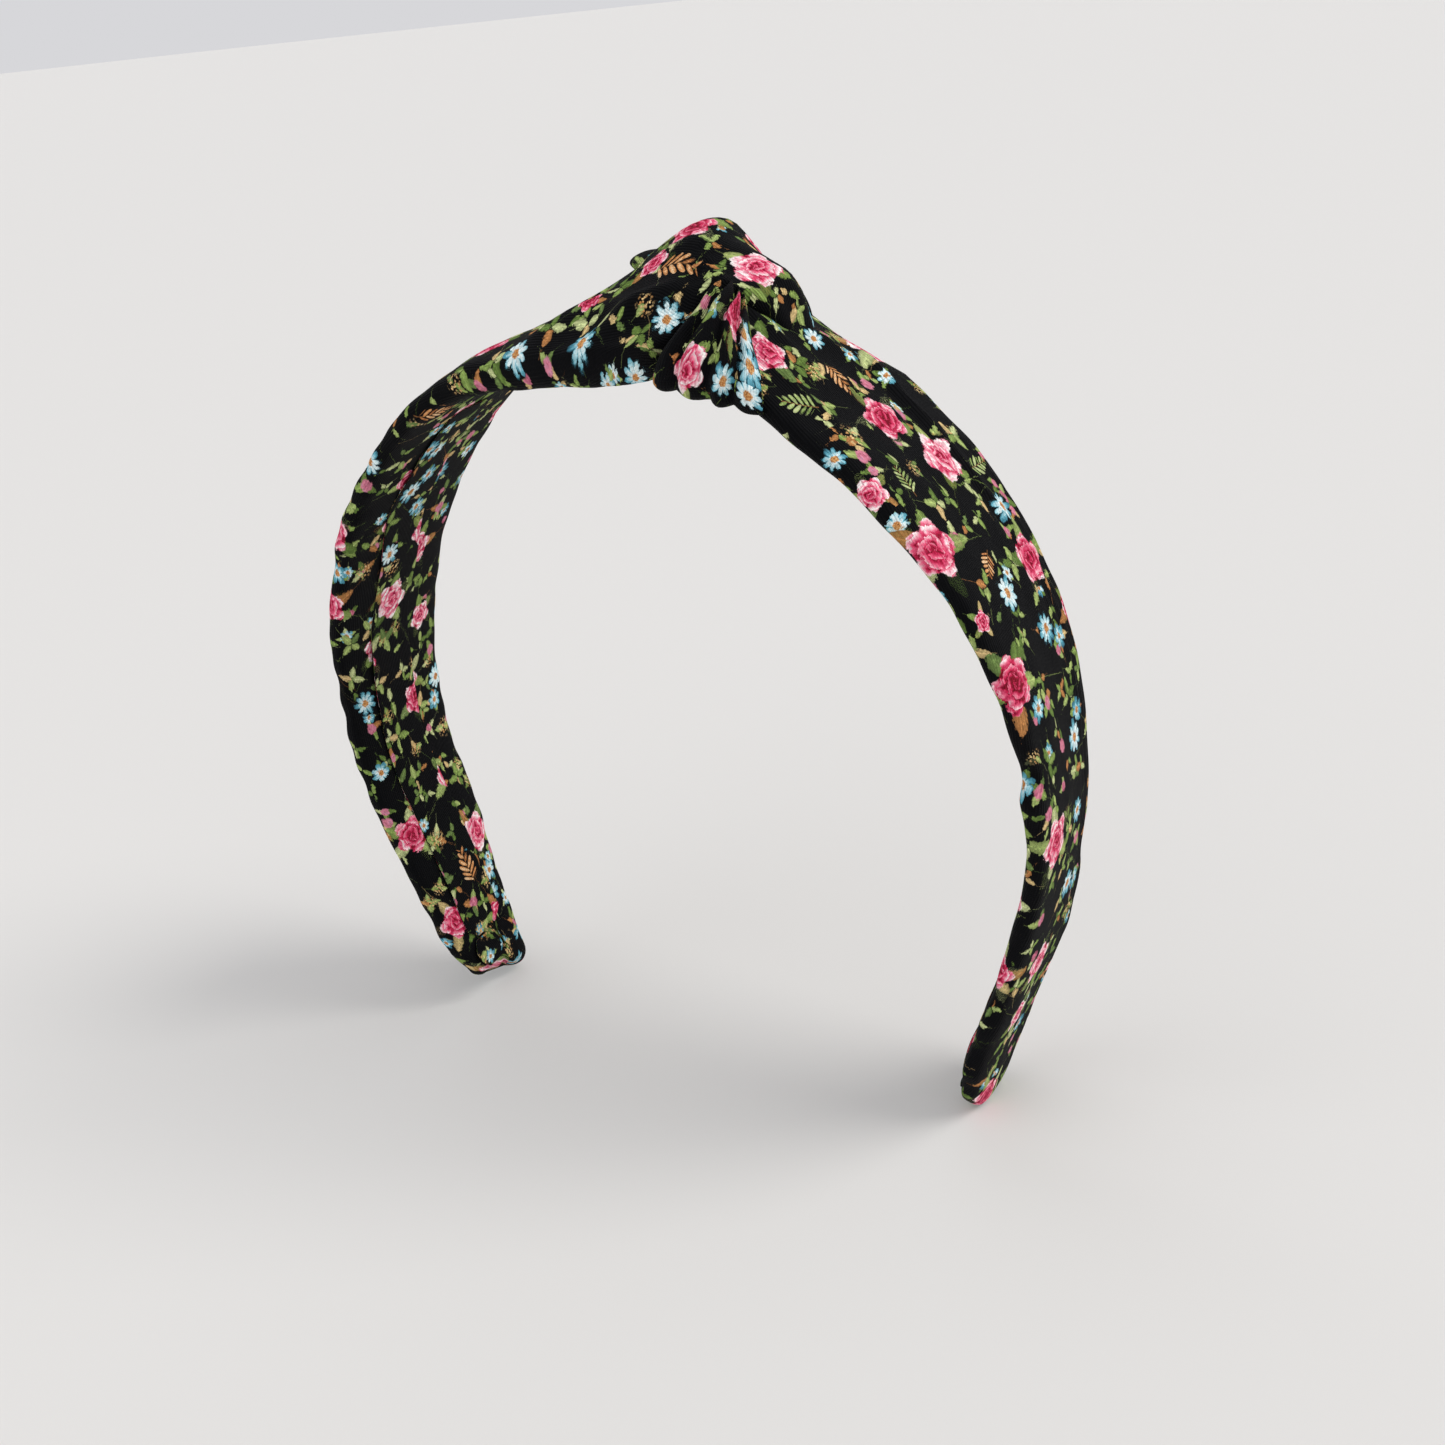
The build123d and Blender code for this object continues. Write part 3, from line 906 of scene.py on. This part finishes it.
def right_cover():
    """Sleeve of the right arm, which starts under the knot."""
    grid = tube(stations_to_tip(RIGHT_STATIONS, "right"), "right")
    s, y, h = grid["s"], grid["y"], grid["h"]
    on_arm = ease(s, 26, 40)
    share = edge_share(y)
    y += wavy_edges(grid, 31, 0.26) * on_arm
    # The front edge draws in to a notch halfway down, with a small swelling below it.
    y += 2.0 * ease(s, 84, 92) * (1 - ease(s, 92.2, 93.8)) * share ** 3 * (y < 0)
    y -= 0.4 * bump(s, 95.5, 2.2) * share ** 3 * (y < 0)
    fold = pucker(grid, 41) * np.minimum(1, 0.35 + on_arm)
    h -= 1.6 * ease(s, 18, 24) * (1 - ease(s, 28, 50)) * ease(-y, 8, 16) * ease(3.0 - h, 0, 4)
    # Gathers fan out from the knot.
    gather = ease(h, 1.5, 4) * (1 - ease(s, 26, 48)) * 0.75
    fan = np.arctan2(y + 9, s - 13) + 0.05 * waves(s, y, 12.0, 45)
    fold = fold + gather * (np.abs(np.sin(fan * 7 + 0.6)) - 0.5)
    # A long crease follows the back edge, with a roll in front of it.
    crease = 9.5 + 1.4 * np.sin(s / 11)
    along_crease = ease(s, 24, 32) * (1 - ease(s, 58, 74)) * ease(h, 2, 3.5)
    fold = fold - along_crease * (0.5 * bump(y, crease, 0.7) - 0.35 * bump(y, crease - 1.9, 1.3))
    # Fine lengthwise folds lie along the back half.
    drawn = ease(s, 40, 60) * ease(y, 3, 9) * ease(h, 1.5, 3.5)
    fold = fold - drawn * 0.28 * np.abs(np.sin(1.5 * y + 0.9 * waves(s, 0 * s, 26.0, 46)))
    piece = finished("right_cover", grid, fold * ease(grid["from_tip"], 0, 4))
    roses = spots(
        grid,
        (39, -1, 4.5, 3.7), (47.5, 3.5, 4.5, 4.2), (55.5, -14, 4, 4.4), (77, -12, 4, 4.3),
        (102.5, -8, 4, 4.1), (66.5, 8, 4, 3.8), (29, 13.5, 4.5, 3.8), (23.5, -10.5, 7, 3.4),
        (156, -5, 4, 3.4), (45.5, -16, 3, 2.3), (67, -13.5, 3.5, 1.6),
    )
    daisies = spots(
        grid,
        (25, 2, 6.5, 2.0), (39, -16.5, 2.5, 1.8), (58, 9, 4, 2.6), (67.5, -3.5, 4, 2.8),
        (75, 3, 4, 2.6), (92, 4, 4, 2.7),
    )
    sprigs = spots(
        grid,
        (30.5, -1.5, 5, 2.4), (31, -13.5, 4, 2.8), (52, 11, 4, 2.6), (62, -4, 4, 2.4),
        (47, -9.5, 4, 2.6),
    )
    flowers(piece, roses, daisies, sprigs, seed=7)
    return piece


# -------- the turns of the knot
RIBBON_PITCH = 0.4
RIBBON_AROUND = 128
RIBBON_THICK = 1.3


def ribbon(path, valleys, depth, seed, name, fabric=24.0, corner=0.75):
    """Pleated band of cloth laid over the knot: its mesh object and its grid. The path holds,
    in order, y, h, the first and last s across the strip there, how far the cloth bulges and
    how much higher its last edge is than its first. The valleys between its pleats are shares
    of its width, fabric is half the width it would have laid flat, and corner says how square
    its edges are."""
    keys = np.array(path, float)
    steps = np.hypot(np.diff(keys[:, 0]), np.diff(keys[:, 1]))
    distance = np.concatenate([[0], np.cumsum(steps)])
    run = np.linspace(0, distance[-1], int(distance[-1] / RIBBON_PITCH) + 1)
    y, h, first, last, bulge, climb = [smooth(run, distance, keys[:, k]) for k in range(6)]
    tangent = np.stack([np.gradient(y), np.gradient(h)], 1)
    tangent /= np.linalg.norm(tangent, axis=1, keepdims=True)
    turn = np.linspace(0, math.tau, RIBBON_AROUND + 1) - math.pi / 2
    across = -np.sign(np.cos(turn)) * np.abs(np.cos(turn)) ** corner
    up = np.sign(np.sin(turn)) * np.abs(np.sin(turn)) ** corner
    share = (across + 1) / 2
    s = first[:, None] + (last - first)[:, None] * share
    drift = 0.05 * waves(run[:, None], share * 12, 11.0, seed) * np.sin(share * math.pi)
    pleat_number = np.interp(share + drift, valleys, np.arange(len(valleys)))
    wave = np.abs(np.sin(math.pi * pleat_number))
    swell = bulge[:, None] * (1 - 0.75 * ease(share, 0.55, 1.0))
    pleat = depth * (0.35 + 0.65 * ease(run, 4, 9))[:, None] * (wave - 0.4)
    rise = np.maximum(up, 0) * (swell + pleat)
    lift = rise + np.minimum(up, 0) * RIBBON_THICK
    outward = np.stack([-tangent[:, 1], tangent[:, 0]], 1)
    yy = y[:, None] + lift * outward[:, :1]
    hh = h[:, None] + climb[:, None] * (share - 0.4) + lift * outward[:, 1:]
    points = place(s, yy, hh)
    points[:, -1] = points[:, 0]
    pieces = np.hypot(np.diff(s, axis=1), np.diff(lift, axis=1)) + 1e-6
    round_it = np.concatenate([np.zeros((len(run), 1)), np.cumsum(pieces, axis=1)], axis=1)
    across_cloth = (round_it / round_it[:, -1:] - 0.5) * 2 * fabric
    cloth = np.stack([np.repeat(run[:, None], RIBBON_AROUND + 1, 1), across_cloth], -1)
    grid = {"s": s, "y": yy, "h": hh, "u": cloth[..., 0], "v": cloth[..., 1]}
    return cloth_mesh(name, points, cloth), grid


def knot_front_wrap():
    """Pleated turn that comes up round the front edge."""
    path = [
        (-12.0, 0.1, 12.8, 26.6, 0.2, 2.6),
        (-15.8, -0.3, 12.4, 27.8, 0.4, 2.6),
        (-18.0, 0.7, 12.2, 28.2, 0.9, 2.3),
        (-18.3, 3.4, 12.8, 27.4, 1.3, 1.2),
        (-16.8, 6.6, 14.2, 25.4, 1.5, 0.0),
        (-14.0, 9.0, 15.2, 22.6, 1.5, -1.2),
        (-10.6, 10.6, 15.2, 20.4, 1.2, -2.0),
        (-6.5, 11.0, 14.4, 18.2, 0.6, -2.0),
    ]
    valleys = (-0.05, 0.20, 0.52, 0.72, 1.04)
    piece, grid = ribbon(path, valleys, 1.9, 61, "knot_front_wrap", fabric=18.0)
    roses = spots(grid, (19, -13, 11, 3.8), (17.5, -20.5, 4, 2.7))
    daisies = spots(
        grid, (21.5, -15.5, 9.5, 2.9), (24.5, -18, 7, 2.9), (22.5, -20, 4, 2.0), (26, -19.5, 4, 2.2)
    )
    flowers(piece, roses, daisies, seed=13)
    return piece


def knot_back_wrap():
    """The wrap's turn behind the knot."""
    path = [
        (4.0, 10.0, 4.5, 13.0, 0.8, 0),
        (9.0, 9.4, 4.0, 16.0, 1.6, 0),
        (13.6, 7.4, 3.6, 17.6, 2.0, 0),
        (16.6, 3.8, 4.2, 19.4, 1.9, 0),
        (17.0, 0.4, 5.4, 21.4, 1.3, 0),
        (14.6, -1.2, 6.4, 22.2, 0.7, 0),
        (11.0, -1.2, 7.4, 22.0, 0.3, 0),
    ]
    piece, _ = ribbon(path, (-0.1, 0.22, 0.5, 0.72, 1.1), 1.3, 67, "knot_back_wrap")
    flowers(piece, seed=17)
    return piece


def knot_side_fold():
    """Small fold tucked in behind the left strand."""
    path = [
        (1.0, 8.6, 1.0, 6.0, 0.3, 0),
        (3.6, 9.3, -1.6, 6.0, 0.9, 0),
        (6.6, 9.6, -3.4, 6.0, 1.4, 0),
        (9.6, 9.0, -3.6, 6.2, 1.5, 0),
        (12.6, 6.8, -2.0, 7.0, 1.2, 0),
        (15.0, 3.6, 0.0, 9.0, 0.6, 0),
    ]
    valleys = (-0.3, 0.62, 1.4)
    piece, _ = ribbon(path, valleys, 0.8, 71, "knot_side_fold", fabric=14.0, corner=1.0)
    flowers(piece, seed=19)
    return piece


# -------- flat strips along the band
STRIP_AROUND = 52
# Keeps the print of a strip's underside apart from that of its top.
UNDERSIDE_SHIFT = 40.0


def strip(name, first, last, y, half, low, high, pitch=1.0, inset=0.0, seed=0):
    """Thin closed strip that follows the band between two distances along it, with rounded and
    thinned ends. Without a half width it follows the cover's edges, at that inset. A seed makes
    it wander and ripple a little."""
    run = np.linspace(first, last, int(abs(last - first) / pitch) + 2)
    side = "left" if (first + last) < 0 else "right"
    if half is None:
        aside = draw_in(run, side) / 2
        room = half_width(run, side) - inset - aside
    else:
        aside = np.zeros(len(run))
        room = np.full(len(run), float(half))
    end = np.minimum(np.abs(run - first), np.abs(run - last))
    room = room * np.clip(0.55 + end / 4, 0, 1)
    turn = np.linspace(0, math.tau, STRIP_AROUND + 1) - math.pi / 2
    a = np.sign(np.cos(turn)) * np.abs(np.cos(turn)) ** 0.5
    b = np.sign(np.sin(turn)) * np.abs(np.sin(turn)) ** 0.5
    s = np.repeat(run[:, None], len(turn), 1)
    drift = waves(s, 0 * s, 30.0, seed) * 0.5 if seed else 0
    yy = y + drift - aside[:, None] - a[None, :] * room[:, None]
    thick = (high - low) * (0.25 + 0.75 * ease(end, 0, 3))
    ripple = waves(s, yy * 0.3, 8.0, seed + 1) * 0.1 if seed else 0
    hh = high + (b[None, :] - 1) / 2 * thick[:, None] + ripple
    points = place(s, yy, hh)
    points[:, -1] = points[:, 0]
    cloth = np.stack([s, yy + np.where(b < 0, UNDERSIDE_SHIFT, 0.0)[None, :]], -1)
    return cloth_mesh(name, points, cloth)


def bend(piece):
    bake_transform(piece)


# Where the foam, glue and seam flap start beside the knot, and how far from the tip the flap
# ends. The flap is as long as the stretch between them.
ARM_START = 33
FLAP_END = 7.5


def arm_pieces(side):
    """Everything inside one arm's cover, and its seam flap, which is returned."""
    sign = -1 if side == "left" else 1
    start = sign * ARM_START
    tip = run_to(side)
    core = strip(
        f"{side}_core_half", sign * 1.0, sign * (tip - 1.7), 0, None, low=0.75, high=2.0, inset=2.4
    )
    dress(core, PLASTIC)
    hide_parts("band_core")
    foam = strip(
        f"{side}_foam_strip_pad", start, sign * (tip - 6), 0, None, low=2.25, high=3.2, inset=3.6
    )
    dress(foam, FOAM)
    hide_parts(f"{side}_foam_strip")
    glue = strip(f"{side}_glue_line", start, sign * (tip - 6), 0, 3.5, low=0.42, high=0.6)
    dress(glue, GLUE)
    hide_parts(f"{side}_glue_strip")
    flap = strip(
        f"{side}_seam_flap_cloth", start, sign * (tip - FLAP_END), -1.5, 5.25,
        low=-0.42, high=0.0, seed=80 + sign,
    )
    flowers(flap, seed=23 + sign)
    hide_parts(f"{side}_seam_flap")
    for piece in (core, foam, glue, flap):
        bend(piece)
    return flap


def tip_fold(name, node, side, y, half):
    """Lobe of the folded end of an arm's cover."""
    tip = run_to(side)
    sign = -1 if side == "left" else 1
    fold = strip(
        name, sign * (tip - 7.0), sign * (tip - 1.2), y, half,
        low=-0.75, high=0.05, pitch=0.5, seed=90 + int(y),
    )
    flowers(fold, seed=29 + int(y))
    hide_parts(node)
    bend(fold)
    return fold


def build_pieces():
    """All visible pieces. The parts they replace are hidden, and the knot's turns and the lining
    are attached to the crown.
    """
    left = left_cover()
    right = right_cover()
    bend(left)
    bend(right)
    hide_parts("left_sleeve", "knot_left_strand", "knot_top_loop")
    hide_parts("right_sleeve", "knot_right_strand")
    for piece, node in (
        (knot_front_wrap(), "knot_front_wrap"),
        (knot_back_wrap(), "knot_back_wrap"),
        (knot_side_fold(), "knot_side_fold"),
    ):
        piece.name = f"{node}_cloth"
        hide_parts(node)
        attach(piece, "crown")
    lining = strip("crown_lining_cloth", -27, 28, 0, 14.4, low=-0.5, high=-0.1, seed=95)
    flowers(lining, seed=31)
    dress(lining, COTTON)
    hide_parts("crown_lining")
    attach(lining, "crown")
    flaps = {side: arm_pieces(side) for side in ("left", "right")}
    folds = {
        "left": [
            tip_fold("left_tip_front_fold_cloth", "left_tip_front_fold", "left", -4.2, 3.4),
            tip_fold("left_tip_back_fold_cloth", "left_tip_back_fold", "left", 2.2, 2.4),
        ],
        "right": [tip_fold("right_tip_fold_cloth", "right_tip_fold", "right", 0.0, 4.9)],
    }
    for side, flap in flaps.items():
        length = (run_to(side) - (ARM_START + FLAP_END)) * MM
    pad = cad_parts["knot_glue_pad"]
    pad.data.materials.clear()
    pad.data.materials.append(GLUE)


build_pieces()


# -------- camera, floor and light
CAMERA_AT = (0.11337, -0.18902, 0.11323)
CAMERA_AZIMUTH = 29.4
CAMERA_DOWN = 26.28
CAMERA_ROLL = -6.16
FLOOR_HALF = 60


def camera():
    data = bpy.data.cameras.new("camera")
    data.lens = 36.67
    data.sensor_width = 36.0
    data.clip_start = 0.01
    data.clip_end = 200
    eye = add_object("camera", data)
    turn = Matrix.Rotation(math.radians(CAMERA_AZIMUTH), 4, "Z")
    tilt = Matrix.Rotation(math.radians(90 - CAMERA_DOWN), 4, "X")
    roll = Matrix.Rotation(math.radians(CAMERA_ROLL), 4, "Z")
    eye.matrix_world = Matrix.Translation(Vector(CAMERA_AT)) @ turn @ tilt @ roll
    bpy.context.scene.camera = eye


def floor():
    """Plain floor, in metres, at the level of the lowest point."""
    mesh = bpy.data.meshes.new("floor")
    low = float(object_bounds()[0].z)
    around = ((-1, -1), (1, -1), (1, 1), (-1, 1))
    mesh.from_pydata([(x * FLOOR_HALF, y * FLOOR_HALF, low) for x, y in around], [], [(0, 1, 2, 3)])
    plane = add_object("floor", mesh)
    material, shader = new_material("pale_floor")
    shader.inputs["Base Color"].default_value = (0.74, 0.73, 0.71, 1)
    shader.inputs["Roughness"].default_value = 0.7
    plane.data.materials.append(material)
    plane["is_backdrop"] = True


def sun(name, direction, strength, spread, colour):
    """Sun lamp that shines from the direction given."""
    data = bpy.data.lights.new(name, "SUN")
    data.energy = strength
    data.angle = math.radians(spread)
    data.color = colour
    lamp = add_object(name, data)
    lamp.rotation_euler = (-Vector(direction)).to_track_quat("-Z", "Y").to_euler()


def studio():
    world = bpy.data.worlds.new("studio")
    bpy.context.scene.world = world
    world.use_nodes = True
    sky = world.node_tree.nodes["Background"]
    sky.inputs["Color"].default_value = (0.97, 0.97, 1.0, 1)
    sky.inputs["Strength"].default_value = 0.70
    sun("window", (0.8, 0.25, 0.9), 1.4, 30, (1.0, 0.98, 0.95))
    sun("fill", (-0.4, -0.9, 0.6), 0.4, 70, (0.96, 0.98, 1.0))


camera()
floor()
studio()
bpy.context.scene.view_settings.view_transform = "Standard"
